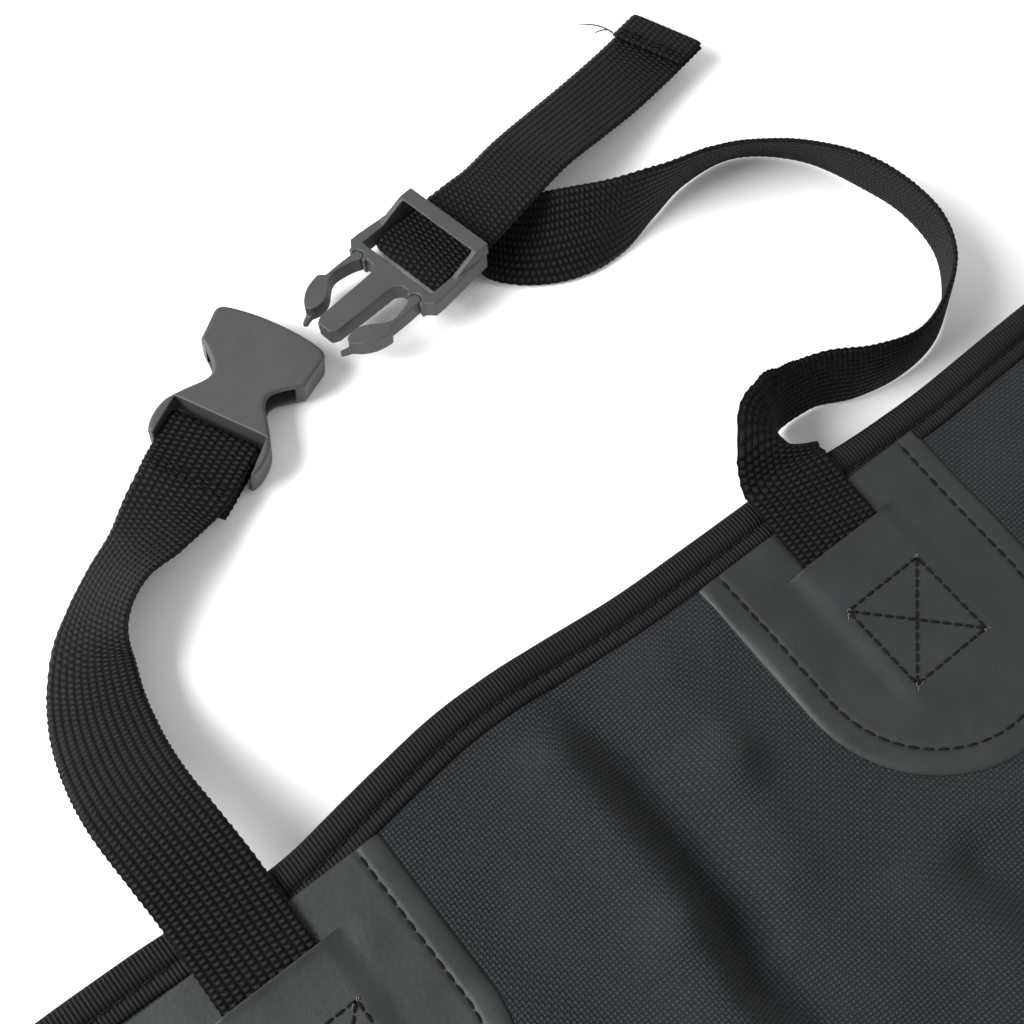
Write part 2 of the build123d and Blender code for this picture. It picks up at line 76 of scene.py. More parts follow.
def placeCamera():
    view = {"place": (-92.45, 100.66, 378.16), "right": (0.7801, -0.6183, 0.0955),
            "down": (-0.5477, -0.7486, -0.3737), "ahead": (0.3026, 0.2392, -0.9226), "lens": 56.25}
    data = bpy.data.cameras.new("camera")
    data.lens, data.sensor_width = view["lens"], 36
    data.clip_start, data.clip_end = 0.01, 20
    camera = bpy.data.objects.new("camera", data)
    bpy.context.scene.collection.objects.link(camera)
    axes = [Vector(view["right"]), -Vector(view["down"]), -Vector(view["ahead"])]
    turn = Matrix(axes).transposed().to_4x4()
    camera.matrix_world = Matrix.Translation(Vector(view["place"]) * mm) @ turn
    bpy.context.scene.camera = camera


placeCamera()
print("stage: camera")


def addNode(tree, kind, inputs=None, **settings):
    node = tree.nodes.new(kind)
    for key, value in settings.items():
        setattr(node, key, value)
    for key, value in (inputs or {}).items():
        if isinstance(value, bpy.types.NodeSocket):
            tree.links.new(value, node.inputs[key])
        else:
            node.inputs[key].default_value = value
    return node


def calc(tree, operation, a, b=0.0, clamp=False):
    node = addNode(tree, "ShaderNodeMath", {0: a, 1: b}, operation=operation, use_clamp=clamp)
    return node.outputs[0]


def blendColor(tree, share, a, b):
    node = addNode(tree, "ShaderNodeMix", {0: share, 6: a, 7: b}, data_type="RGBA")
    return node.outputs[2]


def noise(tree, vector, scale, detail=2.0):
    node = addNode(tree, "ShaderNodeTexNoise", {"Vector": vector, "Scale": scale, "Detail": detail})
    return node.outputs["Fac"]


def newGroup(name, inputs, outputs):
    tree = bpy.data.node_groups.new(name, "ShaderNodeTree")
    tree.interface.new_socket(name="Vector", in_out="INPUT", socket_type="NodeSocketVector")
    for label, value in inputs.items():
        socket = tree.interface.new_socket(name=label, in_out="INPUT", socket_type="NodeSocketFloat")
        socket.default_value = value
    for label in outputs:
        tree.interface.new_socket(name=label, in_out="OUTPUT", socket_type="NodeSocketFloat")
    start = tree.nodes.new("NodeGroupInput")
    end = tree.nodes.new("NodeGroupOutput")
    return tree, start.outputs, end.inputs


def cells(tree, vector, pitch):
    # the two coordinates in threads, with the place inside each thread as a half wave
    apart = addNode(tree, "ShaderNodeSeparateXYZ", {0: vector}).outputs
    found = []
    for axis in ("X", "Y"):
        turns = calc(tree, "DIVIDE", apart[axis], pitch)
        wave = calc(tree, "ABSOLUTE", calc(tree, "SINE", calc(tree, "MULTIPLY", turns, math.pi)))
        found.append((turns, wave))
    return found


def weaveGroup():
    # plain weave: over and under threads change places from cell to cell
    tree, given, out = newGroup("weave", {"Pitch": 1.0, "Fuzz": 0.3}, ["Height", "Glint"])
    (u, waveU), (v, waveV) = cells(tree, given["Vector"], given["Pitch"])
    parity = calc(tree, "MODULO", calc(tree, "ADD", calc(tree, "FLOOR", u), calc(tree, "FLOOR", v)), 2.0)
    parity = calc(tree, "ABSOLUTE", parity)
    over = calc(tree, "MULTIPLY", waveU, calc(tree, "ADD", calc(tree, "MULTIPLY", waveV, 0.5), 0.5))
    under = calc(tree, "MULTIPLY", waveV, calc(tree, "ADD", calc(tree, "MULTIPLY", waveU, 0.5), 0.5))
    mixed = addNode(tree, "ShaderNodeMix", {0: parity, 2: over, 3: under}).outputs[0]
    fuzz = calc(tree, "MULTIPLY", noise(tree, given["Vector"], 2.3, 3.0), given["Fuzz"])
    tree.links.new(calc(tree, "ADD", mixed, fuzz), out["Height"])
    # Glint: painted highlight on the raised threads, mixed into the base colour
    bright = calc(tree, "MULTIPLY", calc(tree, "POWER", mixed, 3.0), noise(tree, given["Vector"], 0.55, 2.0))
    tree.links.new(bright, out["Glint"])
    return tree


def webbingGroup():
    # columns of raised dots, set off along a chevron about the middle of the band
    tree, given, out = newGroup("webbingDots", {"Rib": 2.0, "Slant": 0.5}, ["Height", "Dot"])
    apart = addNode(tree, "ShaderNodeSeparateXYZ", {0: given["Vector"]}).outputs
    column = calc(tree, "DIVIDE", apart["Y"], given["Rib"])
    slant = calc(tree, "MULTIPLY", calc(tree, "ABSOLUTE", calc(tree, "FLOOR", column)), given["Slant"])
    rowPitch = calc(tree, "MULTIPLY", given["Rib"], 0.7)
    row = calc(tree, "ADD", calc(tree, "DIVIDE", apart["X"], rowPitch), slant)
    waveC = calc(tree, "ABSOLUTE", calc(tree, "SINE", calc(tree, "MULTIPLY", column, math.pi)))
    waveR = calc(tree, "ABSOLUTE", calc(tree, "SINE", calc(tree, "MULTIPLY", row, math.pi)))
    dot = calc(tree, "MULTIPLY", waveC, waveR)
    rough = calc(tree, "MULTIPLY", noise(tree, given["Vector"], 2.0, 3.0), 0.35)
    tree.links.new(calc(tree, "ADD", calc(tree, "POWER", dot, 0.6), rough), out["Height"])
    # second output: painted highlight on the tops of the raised dots
    tree.links.new(calc(tree, "POWER", dot, 2.6), out["Dot"])
    return tree


def ribGroup():
    # ribs across the tape
    tree, given, out = newGroup("grosgrain", {"Pitch": 1.0}, ["Height", "CrestGlint"])
    waveU = cells(tree, given["Vector"], given["Pitch"])[0][1]
    rough = calc(tree, "MULTIPLY", noise(tree, given["Vector"], 2.5, 2.0), 0.4)
    tree.links.new(calc(tree, "ADD", waveU, rough), out["Height"])
    # second output: painted highlight on the rib crests
    tree.links.new(calc(tree, "POWER", waveU, 4.0), out["CrestGlint"])
    return tree


def grainGroup():
    # pebbled skin: cells with soft creases, and a slow blotch
    tree, given, out = newGroup("grain", {"Size": 1.0}, ["Height", "Blotch"])
    pebble = addNode(tree, "ShaderNodeTexVoronoi", {"Vector": given["Vector"], "Scale": given["Size"]},
                     feature="SMOOTH_F1").outputs["Distance"]
    fine = noise(tree, given["Vector"], 3.5, 4.0)
    tree.links.new(calc(tree, "ADD", calc(tree, "MULTIPLY", pebble, -0.8), fine), out["Height"])
    tree.links.new(noise(tree, given["Vector"], 0.09, 4.0), out["Blotch"])
    return tree


def dustGroup():
    # lint and specks
    tree, given, out = newGroup("dust", {"Amount": 0.1}, ["Mask"])
    speck = noise(tree, given["Vector"], 1.1, 6.0)
    level = calc(tree, "SUBTRACT", 0.74, given["Amount"])
    past = calc(tree, "SUBTRACT", speck, level, clamp=True)
    tree.links.new(calc(tree, "MULTIPLY", past, 6.0, clamp=True), out["Mask"])
    return tree


groups = {"weave": weaveGroup(), "webbing": webbingGroup(), "rib": ribGroup(), "grain": grainGroup(),
          "dust": dustGroup()}
print("stage: node groups")


def gray(level, tint=(1.0, 1.0, 1.0)):
    linear = (level / 255) ** 2.2
    return tuple(linear * t for t in tint) + (1.0,)


def useGroup(tree, name, vector, **inputs):
    node = addNode(tree, "ShaderNodeGroup", node_tree=groups[name])
    tree.links.new(vector, node.inputs["Vector"])
    for key, value in inputs.items():
        node.inputs[key].default_value = value
    return node.outputs


def makeFinish(look):
    # look: pattern group and its values, three colours, roughness, bump
    material = bpy.data.materials.new(look["name"])
    material.use_nodes = True
    tree = material.node_tree
    shader = tree.nodes["Principled BSDF"]
    coordinates = addNode(tree, "ShaderNodeTexCoord").outputs
    if look.get("byObject"):
        place = addNode(tree, "ShaderNodeVectorMath", {0: coordinates["Object"], 1: (1000, 1000, 1000)},
                        operation="MULTIPLY").outputs[0]
    else:
        place = coordinates["UV"]
    pattern = useGroup(tree, look["pattern"], place, **look["values"])
    height, glintAndBlotch = pattern[0], pattern[1]
    # the pattern's second output lifts dark towards light: painted highlight for weave, webbing and rib
    # patterns, blotchy tone for grain
    share = calc(tree, "MULTIPLY", glintAndBlotch, look["glintAndBlotchShare"], clamp=True)
    color = blendColor(tree, share, look["dark"], look["light"])
    blotch = useGroup(tree, "grain", place, Size=0.9)["Blotch"]
    color = blendColor(tree, calc(tree, "MULTIPLY", blotch, look.get("blotch", 0.3)), color, look["worn"])
    dust = useGroup(tree, "dust", place, Amount=look.get("dust", 0.03))["Mask"]
    color = blendColor(tree, calc(tree, "MULTIPLY", dust, look.get("dustShare", 0.25)), color, gray(120))
    tree.links.new(color, shader.inputs["Base Color"])
    relief = {"Height": height, "Strength": look["bump"], "Distance": look["deep"] * mm}
    bump = addNode(tree, "ShaderNodeBump", relief)
    tree.links.new(bump.outputs[0], shader.inputs["Normal"])
    if look.get("roughSpread"):
        spread = calc(tree, "MULTIPLY", blotch, look["roughSpread"])
        tree.links.new(calc(tree, "ADD", spread, look["rough"]), shader.inputs["Roughness"])
    else:
        shader.inputs["Roughness"].default_value = look["rough"]
    shader.inputs["Specular IOR Level"].default_value = look.get("specular", 0.4)
    if look.get("sheen"):
        shader.inputs["Sheen Weight"].default_value = look["sheen"]
        shader.inputs["Sheen Roughness"].default_value = 0.5
    material.diffuse_color = look["dark"]
    return material


# light: painted highlight colour for cloth, tape, webbing, thread and fluff; lighter blotch tone for patch,
# plastic and board
looks = {
    "cloth": {"name": "wovenCloth", "pattern": "weave", "values": {"Pitch": 1.0, "Fuzz": 0.35},
              "glintAndBlotchShare": 0.9, "dark": gray(27, (0.92, 0.98, 1.14)), "light": gray(66, (0.94, 1.0, 1.1)),
              "worn": gray(38),
              "bump": 0.9, "deep": 0.45, "rough": 0.66, "specular": 0.2, "blotch": 0.35, "dust": 0.04,
              "sheen": 0.05},
    "tape": {"name": "ribbedTape", "pattern": "rib", "values": {"Pitch": 1.0}, "glintAndBlotchShare": 0.6,
             "dark": gray(15), "light": gray(36), "worn": gray(24),
             "bump": 0.9, "deep": 0.4, "rough": 0.7, "specular": 0.17, "dust": 0.02},
    "webbing": {"name": "dottedWebbing", "pattern": "webbing", "values": {"Rib": 2.0, "Slant": 0.36},
                "glintAndBlotchShare": 0.85, "dark": gray(13), "light": gray(38), "worn": gray(21),
                "bump": 1.0, "deep": 0.55, "rough": 0.62, "specular": 0.12, "dust": 0.03},
    "patch": {"name": "fauxLeather", "pattern": "grain", "values": {"Size": 0.9}, "glintAndBlotchShare": 0.5,
              "dark": gray(27, (0.96, 0.99, 1.06)), "light": gray(40), "worn": gray(45, (0.96, 1, 1.04)),
              "bump": 0.25, "deep": 0.25, "rough": 0.4, "roughSpread": 0.25, "specular": 0.36,
              "blotch": 0.9, "dust": 0.04},
    "plastic": {"name": "mouldedPlastic", "pattern": "grain", "values": {"Size": 1.6}, "glintAndBlotchShare": 0.3,
                "dark": gray(56, (0.98, 0.99, 1.03)), "light": gray(74), "worn": gray(65),
                "bump": 0.22, "deep": 0.14, "rough": 0.46, "roughSpread": 0.12, "specular": 0.45,
                "byObject": True, "dust": 0.02, "dustShare": 0.2},
    "thread": {"name": "twistedThread", "pattern": "rib", "values": {"Pitch": 0.45}, "glintAndBlotchShare": 0.8,
               "dark": gray(8), "light": gray(30), "worn": gray(14),
               "bump": 0.8, "deep": 0.12, "rough": 0.6, "specular": 0.15},
    "fluff": {"name": "looseFibre", "pattern": "rib", "values": {"Pitch": 0.4}, "glintAndBlotchShare": 0.8,
              "dark": gray(70), "light": gray(120), "worn": gray(90), "bump": 0.5, "deep": 0.05, "rough": 0.7},
    "board": {"name": "grayBoard", "pattern": "grain", "values": {"Size": 0.5}, "glintAndBlotchShare": 0.8,
              "dark": gray(90), "light": gray(120), "worn": gray(100), "bump": 0.3, "deep": 0.3, "rough": 0.8},
}
finishes = {key: makeFinish(look) for key, look in looks.items()}
print("stage: finishes")


def makeMesh(name, points, faces, uv, look):
    corners = points[faces]
    if np.einsum("ij,ij->i", corners[:, 0], np.cross(corners[:, 1], corners[:, 2])).sum() < 0:
        faces = faces[:, ::-1]
    mesh = bpy.data.meshes.new(name)
    mesh.from_pydata((points * mm).tolist(), [], faces.tolist())
    layer = mesh.uv_layers.new(name="lengths")
    layer.data.foreach_set("uv", uv[faces.ravel()].astype(np.float32).ravel())
    mesh.shade_smooth()
    mesh.materials.append(finishes[look])
    piece = bpy.data.objects.new(name, mesh)
    bpy.context.scene.collection.objects.link(piece)
    return piece


def slabArrays(top, bottom, uv):
    # closed skin round two matching grids of points
    rows, columns = top.shape[:2]
    count = 2 * columns
    points = np.concatenate([top, bottom[:, ::-1]], axis=1).reshape(-1, 3)
    lengths = np.concatenate([uv, uv[:, ::-1]], axis=1).reshape(-1, 2)
    i, j = np.meshgrid(np.arange(rows - 1), np.arange(count), indexing="ij")
    k = (j + 1) % count
    here, after = i * count, (i + 1) * count
    around = np.stack([here + j, here + k, after + k, after + j], -1).reshape(-1, 4)
    j = np.arange(columns - 1)
    ends = [np.stack([first + j, first + j + 1, first + count - 2 - j, first + count - 1 - j], -1)
            for first in (0, (rows - 1) * count)]
    return points, np.concatenate([around, ends[0][:, ::-1], ends[1]]), lengths


def slab(name, top, bottom, uv, look):
    return makeMesh(name, *slabArrays(top, bottom, uv), look)


def place(piece, body, slotName, *nodes):
    if body:
        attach(piece, body)
    if nodes:
        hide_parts(*nodes)
    return piece


def ease(t):
    t = np.clip(t, 0.0, 1.0)
    return t * t * (3 - 2 * t)


def roofKnots():
    co = np.array([v.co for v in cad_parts["top_panel"].data.vertices]) / mm
    ys = np.unique(co[:, 1].round(1))
    return ys, np.array([co[np.abs(co[:, 1] - y) < 0.3][:, 2].max() for y in ys])


roofY, roofZ = roofKnots()
roofZ[0] = topHigh[2]

# folds: from, to, half width, height (below the cloth if negative)
folds = {
    "fixed": [((-6, 142), (-8, 92), 8, 5.0), ((-8, 96), (-18, 52), 9, 4.5), ((27, 144), (26, 112), 9, 3.2),
              ((26, 118), (18, 84), 9, 4.0), ((56, 66), (66, 30), 8, -5.5), ((38, 70), (46, 30), 7, 3.6),
              ((-38, 124), (-30, 70), 9, -2.6), ((-36, 72), (-70, 48), 10, 2.4),
              ((128, 128), (168, 96), 9, 2.2), ((130, 100), (180, 60), 8, -1.8),
              ((-128, 120), (-176, 92), 9, 1.5), ((60, 70), (120, 58), 7, 1.6),
              ((-110, 66), (-150, 20), 10, 2.0), ((22, 46), (40, 8), 9, -3.2), ((-60, 40), (10, 22), 9, 2.0),
              ((150, 150), (196, 140), 7, -1.2), ((-140, 152), (-190, 140), 7, -1.0)],
    "troughX": ([20, 38, 58, 74, 104, 126, 152, 170], [26, 16, 6, 1, 8, 9, 6, 4]),
    "troughDeep": ([18, 40, 60, 90, 125, 150, 165], [0, 4.0, 9.0, 11.0, 9.0, 2.6, 0.8]),
    "small": 46}
smallFolds = [((x, y), (x + l * math.cos(a), y + l * math.sin(a)), w, h) for x, y, l, a, w, h in zip(
    rng.uniform(-190, 190, folds["small"]), rng.uniform(-150, 140, folds["small"]),
    rng.uniform(20, 60, folds["small"]), rng.uniform(0, math.pi, folds["small"]),
    rng.uniform(4, 9, folds["small"]), rng.uniform(-0.8, 0.9, folds["small"]))]


def foldHeight(x, y, fold):
    (x0, y0), (x1, y1), width, height = fold
    dx, dy = x1 - x0, y1 - y0
    length = math.hypot(dx, dy)
    t = ((x - x0) * dx + (y - y0) * dy) / length
    away = ((x - x0) * dy - (y - y0) * dx) / length
    ends = ease((t + width) / (1.6 * width)) * ease((length + width - t) / (1.6 * width))
    return height * np.exp(-(away / width) ** 2) * ends


def surfaceZ(x, y):
    x, y = np.asarray(x, float), np.asarray(y, float)
    z = sum(np.interp(y + d, roofY, roofZ) for d in (-9, -4.5, 0, 4.5, 9)) / 5
    away = x - np.interp(y, *folds["troughX"])
    deep = np.interp(y, *folds["troughDeep"])
    # calmer under the patches
    quiet = 1 - 0.75 * np.exp(-((np.abs(np.abs(x) - 84) / 30) ** 4)) * ease((y - 68) / 12)
    wave = -deep * np.exp(-(away / 7.5) ** 2)
    for fold in folds["fixed"] + smallFolds:
        wave = wave + foldHeight(x, y, fold) * quiet
    ripple = 0.5 * np.sin(x / 17 + y / 31) + 0.4 * np.sin(y / 13 - x / 41) + 0.25 * np.sin(x / 6.3 - y / 9.1)
    wave = wave + quiet * ripple
    edge = ease((halfWidth - np.abs(x)) / 14) * ease((y - baseY) / 12)
    return z + wave * edge


def rimLine(x):
    # the mouth's edge, pushed in and out by the folds
    knots = ([-214, -128, -98, -70, -46, -20, 2, 12, 33, 79, 104, 127, 171, 214],
             [0, 2.2, 1.4, -2.2, 1.5, 5.0, 4.4, 3.2, 1.2, 0.8, -1.8, -2.6, -0.8, 0])
    x = np.asarray(x, float)
    spread = sum(np.interp(x + d, *knots) for d in (-7, -3.5, 0, 3.5, 7)) / 5
    return rimY + spread


def laid(name, x, y, top, bottom, look):
    # a layer on the cloth: plan grids with its heights over the surface
    z = surfaceZ(x, y)
    uv = np.stack([y, x], -1)
    return slab(name, np.stack([x, y, z + top], -1), np.stack([x, y, z + bottom], -1), uv, look)


def buildUpperPanel():
    panel = {"thick": 1.5, "tuck": 1.2}
    x = np.linspace(-halfWidth, halfWidth, 300)
    t = np.r_[np.linspace(0, 0.62, 110), np.linspace(0.62, 1, 110)[1:]]
    x2, t2 = np.meshgrid(x, t)
    y2 = baseY + t2 * (rimLine(x2) - panel["tuck"] - baseY)
    piece = laid("upperPanel", x2, y2, np.zeros_like(x2), np.full_like(x2, -panel["thick"]), "cloth")
    place(piece, "front", "canvas", "top_panel")


buildUpperPanel()
print("stage: upper panel")


def bindingRows(x, tape):
    # outward offset from the rim and heights of the tape's outside and underside
    offset = -np.array([10.6, 10.2, 9.4, 8.3, 7.5, 7.1, 6.8, 6.5, 6.1, 5.3, 4.2, 3.0, 1.9, 1.0, 0.4, 0.08, 0])
    over = np.array([.25, .75, .95, .95, .8, .45, .3, .45, .95, 1.35, 1.55, 1.6, 1.5, 1.2, .8, .3, -.2])
    under = -2.1 - np.array([.1, .3, .4, .4, .4, .3, .3, .4, .5, .6, .6, .6, .5, .3, 0, -.5, -1.0])
    slope = np.gradient(rimLine(x), x)
    out = np.stack([-slope, np.ones_like(slope)], -1) / np.hypot(slope, 1)[:, None]
    gx = x[:, None] + out[:, :1] * offset
    gy = rimLine(x)[:, None] + out[:, 1:] * offset
    ribs = tape["rib"] * np.abs(np.sin(math.pi * x / tape["pitch"]))[:, None] * np.ones_like(gx)
    return gx, gy, over + ribs, under - ribs * 0.5


def buildRimBinding():
    tape = {"rib": 0.14, "pitch": 1.0, "step": 0.34}
    x = np.arange(-halfWidth + 2.4, halfWidth - 2.4, tape["step"])
    gx, gy, over, under = bindingRows(x, tape)
    z = surfaceZ(gx, gy)
    uv = np.stack([gx, gy - rimY], -1)
    outside, underside = np.stack([gx, gy, z + over], -1), np.stack([gx, gy, z + under], -1)
    piece = slab("rimBinding", outside, underside, uv, "tape")
    place(piece, "front", "binding", "rim_binding_top")


buildRimBinding()


def stitchArrays(path, stitch):
    # short raised lengths of thread along a path of points
    path = np.asarray(path, float)
    run = np.r_[0, np.cumsum(np.linalg.norm(np.diff(path, axis=0), axis=1))]
    count = max(1, int(run[-1] / stitch["pitch"]))
    step = run[-1] / count
    found = []
    around = np.linspace(0, 2 * math.pi, 7)[:-1]
    for i in range(count):
        at = i * step + step * np.linspace(0.04, stitch["share"], 7)
        middle = np.stack([np.interp(at, run, path[:, k]) for k in range(3)], -1)
        t = np.linspace(0, 1, 7)
        middle[:, 2] += stitch["lift"] * np.sin(math.pi * t) ** 0.6 - stitch["sink"]
        along = np.gradient(middle, axis=0)
        along /= np.linalg.norm(along, axis=1)[:, None]
        side = np.cross(along, (0, 0, 1.0))
        side /= np.linalg.norm(side, axis=1)[:, None] + 1e-9
        up = np.cross(side, along)
        radius = stitch["thick"] / 2 * (0.55 + 0.45 * np.sin(math.pi * t) ** 0.4)
        ring = middle[:, None] + radius[:, None, None] * (
            side[:, None] * np.cos(around)[:, None] + up[:, None] * np.sin(around)[:, None])
        found.append((ring, at))
    return found


def stitchMesh(name, paths, stitch, look="thread"):
    points, faces, uv, base = [], [], [], 0
    i, j = np.meshgrid(np.arange(6), np.arange(6), indexing="ij")
    k = (j + 1) % 6
    shape = np.stack([i * 6 + j, i * 6 + k, (i + 1) * 6 + k, (i + 1) * 6 + j], -1).reshape(-1, 4)
    caps = np.array([(3, 2, 1, 0), (5, 4, 3, 0), (36, 37, 38, 39), (36, 39, 40, 41)])
    shape = np.concatenate([shape[:, ::-1], caps[:, ::-1]])
    for path in paths:
        for ring, at in stitchArrays(path, stitch):
            points.append(ring.reshape(-1, 3))
            uv.append(np.stack([np.repeat(at, 6), np.tile(np.arange(6) * 0.2, 7)], -1))
            faces.append(shape + base)
            base += 42
    return makeMesh(name, np.concatenate(points), np.concatenate(faces), np.concatenate(uv), look)


topStitch = {"pitch": 3.4, "share": 0.84, "lift": 0.28, "sink": 0.12, "thick": 0.6}


def buildRimStitch():
    seam = {"inset": 6.8, "height": 0.5}
    paths = []
    for x0, x1 in ((-halfWidth + 4, leftX - 14), (leftX + 14, rightX - 14), (rightX + 14, halfWidth - 4)):
        x = np.arange(x0, x1, 1.0)
        y = rimLine(x) - seam["inset"]
        paths.append(np.stack([x, y, surfaceZ(x, y) + seam["height"]], -1))
    place(stitchMesh("rimStitches", paths, topStitch), "front", "thread", "rim_stitch")


buildRimStitch()
print("stage: rim")


patch = {"thick": 1.3, "swell": 1.7, "webHalf": 12.5, "buried": 38.0, "slit": 21.0, "inset": 6.2, "edge": 1.1}
slitY = rimY - patch["slit"]
roundY = patchFoot + patchWidth / 2


def patchHeight(dx, y):
    # height over the cloth: soft edge, swell over the buried webbing up to the slit
    half = patchWidth / 2
    fromEdge = np.where(y > roundY, half - np.abs(dx), half - np.hypot(dx, np.minimum(y - roundY, 0)))
    skin = patch["thick"] * (1 - 0.8 * np.exp(-np.maximum(fromEdge, 0) / patch["edge"]))
    across = ease((patch["webHalf"] + 6.0 - np.abs(dx)) / 6.5)
    along = ease((y - (slitY - patch["buried"] - 8)) / 9) * (y <= slitY)
    lip = 0.35 * np.exp(-((slitY - y) / 1.4) ** 2) * (y <= slitY) * across
    seam = np.exp(-((fromEdge - patch["inset"]) / 0.7) ** 2) * 0.32
    past = 0.5 * ease((y - slitY) / 3) * across
    calm = 0.55 + 0.45 * np.exp(-np.maximum(slitY - y, 0) / 6)  # the swell settles behind the slit
    return skin + patch["swell"] * calm * across * along + lip - seam - past * 0.4


def buildPatch(side, xc):
    y = np.r_[patchFoot + (roundY - patchFoot) * (1 - np.cos(np.linspace(0.02, math.pi / 2, 60))),
              np.arange(roundY + 0.6, slitY - 0.3, 0.6), slitY - 0.02, slitY + 0.02,
              np.arange(slitY + 0.6, patchTop + 1.2, 0.6)]
    half = patchWidth / 2
    reach = np.where(y > roundY, half, np.sqrt(np.maximum(half ** 2 - (roundY - y) ** 2, 0.4)))
    s = np.sin(np.linspace(-math.pi / 2, math.pi / 2, 130))
    s = 0.6 * s + 0.4 * np.linspace(-1, 1, 130)
    dx = reach[:, None] * s
    y2 = np.repeat(y[:, None], len(s), axis=1)
    piece = laid("patch" + side, xc + dx, y2, patchHeight(dx, y2), np.full_like(dx, -0.15), "patch")
    place(piece, "front", "patch", "patch_" + side.lower())

    # edge stitching along the sides and the round end
    r = half - patch["inset"]
    turn = np.linspace(math.pi, 2 * math.pi, 90)
    line = [(-r, v) for v in np.arange(patchTop - 0.5, roundY, -1.0)]
    line += [(r * math.cos(a), roundY + r * math.sin(a)) for a in turn]
    line += [(r, v) for v in np.arange(roundY, patchTop, 1.0)]
    dx, y = np.array(line).T
    path = np.stack([xc + dx, y, surfaceZ(xc + dx, y) + patchHeight(dx, y) + 0.08], -1)
    stitches = stitchMesh("edgeStitches" + side, [path], topStitch)
    place(stitches, "front", "thread", "edge_stitch_" + side.lower())

    # box and cross through the buried webbing
    e = (boxHigh[0] - boxLow[0]) / 2
    yc = (boxLow[1] + boxHigh[1]) / 2
    corners = [(-e, -e), (e, -e), (e, e), (-e, e), (-e, -e)]
    runs = list(zip(corners, corners[1:])) + [((-e, -e), (e, e)), ((e, -e), (-e, e))]
    paths = []
    for (x0, y0), (x1, y1) in runs:
        t = np.linspace(0, 1, 30)
        dx, y = x0 + (x1 - x0) * t, yc + y0 + (y1 - y0) * t
        paths.append(np.stack([xc + dx, y, surfaceZ(xc + dx, y) + patchHeight(dx, y) + 0.1], -1))
    place(stitchMesh("boxStitches" + side, paths, {**topStitch, "pitch": 2.6, "thick": 0.7}),
          "front", "thread", "box_stitch_" + side.lower())

    # pale fibres worn up at the box's corners
    tufts = []
    for x0, y0 in corners[:4]:
        for _ in range(4):
            a, length = rng.uniform(0, 2 * math.pi), rng.uniform(0.8, 2.2)
            t = np.linspace(0, 1, 8)
            dx = x0 + rng.uniform(-.7, .7) + length * t * math.cos(a)
            y = yc + y0 + rng.uniform(-.7, .7) + length * t * np.sin(a + t)
            tufts.append(np.stack([xc + dx, y, surfaceZ(xc + dx, y) + patchHeight(dx, y) + 0.15], -1))
    fibre = {**topStitch, "pitch": 9, "thick": 0.22, "share": 0.96}
    place(stitchMesh("boxFibres" + side, tufts, fibre, "fluff"), "front", "thread")


buildPatch("Left", leftX)
buildPatch("Right", rightX)
print("stage: patches")


webbing = {"width": 25.0, "thick": 1.5, "step": 0.45, "columns": 64, "rib": 2.0, "relief": 0.13,
           "selvedge": 0.3}
hinge = {"y": rimY + 1.0, "gap": 0.15, "z": span("strap_anchor_left")[1][2] - webbing["thick"] / 2}


def smoothRun(knots, step):
    # even samples of a smooth curve through knots of place and width direction
    knots = np.asarray(knots, float)
    chord = np.r_[0, np.cumsum(np.linalg.norm(np.diff(knots[:, :3], axis=0), axis=1))]
    slope = np.gradient(knots, chord, axis=0)
    at = np.linspace(0, chord[-1], int(chord[-1] / step) + 1)
    i = np.clip(np.searchsorted(chord, at, side="right") - 1, 0, len(chord) - 2)
    h = (chord[i + 1] - chord[i])[:, None]
    t = (at - chord[i])[:, None] / h
    return ((2 * t**3 - 3 * t**2 + 1) * knots[i] + (t**3 - 2 * t**2 + t) * h * slope[i]
            + (3 * t**2 - 2 * t**3) * knots[i + 1] + (t**3 - t**2) * h * slope[i + 1])


def webbingBand(name, knots, phase=0.0):
    run = smoothRun(knots, webbing["step"])
    middle, wide = run[:, :3], run[:, 3:]
    along = np.gradient(middle, axis=0)
    along /= np.linalg.norm(along, axis=1)[:, None]
    wide = wide - np.sum(wide * along, axis=1)[:, None] * along
    wide /= np.linalg.norm(wide, axis=1)[:, None]
    up = np.cross(along, wide)
    length = np.r_[0, np.cumsum(np.linalg.norm(np.diff(middle, axis=0), axis=1))] + phase
    even = np.linspace(-1, 1, webbing["columns"])
    v = np.sin(even * math.pi / 2) * 0.35 + even * 0.65  # closer together near the edges
    half = webbing["width"] / 2 - webbing["selvedge"] * np.abs(np.sin(math.pi * length / 1.9))
    across = half[:, None] * v
    body = webbing["thick"] / 2 * (1 - 0.72 * np.abs(v) ** 14)
    ribs = webbing["relief"] * (np.abs(np.sin(math.pi * across / webbing["rib"])) - 0.6)
    ribs = ribs * (0.6 + 0.4 * np.abs(np.sin(math.pi * length / 2.0))[:, None])
    low = np.minimum((middle[:, None] + wide[:, None] * across[..., None])[..., 2].min(axis=1) - 0.9, 0.0)
    lift = np.array([0, 0, 1.0]) * np.maximum(-low, 0)[:, None]
    middle = middle + lift
    flat = middle[:, None] + wide[:, None] * across[..., None]
    top = flat + up[:, None] * (body + ribs)[..., None]
    bottom = flat - up[:, None] * (body + ribs)[..., None]
    uv = np.stack([np.repeat(length[:, None], len(v), axis=1), across], -1)
    return slab(name, top, bottom, uv, "webbing"), middle, wide, up


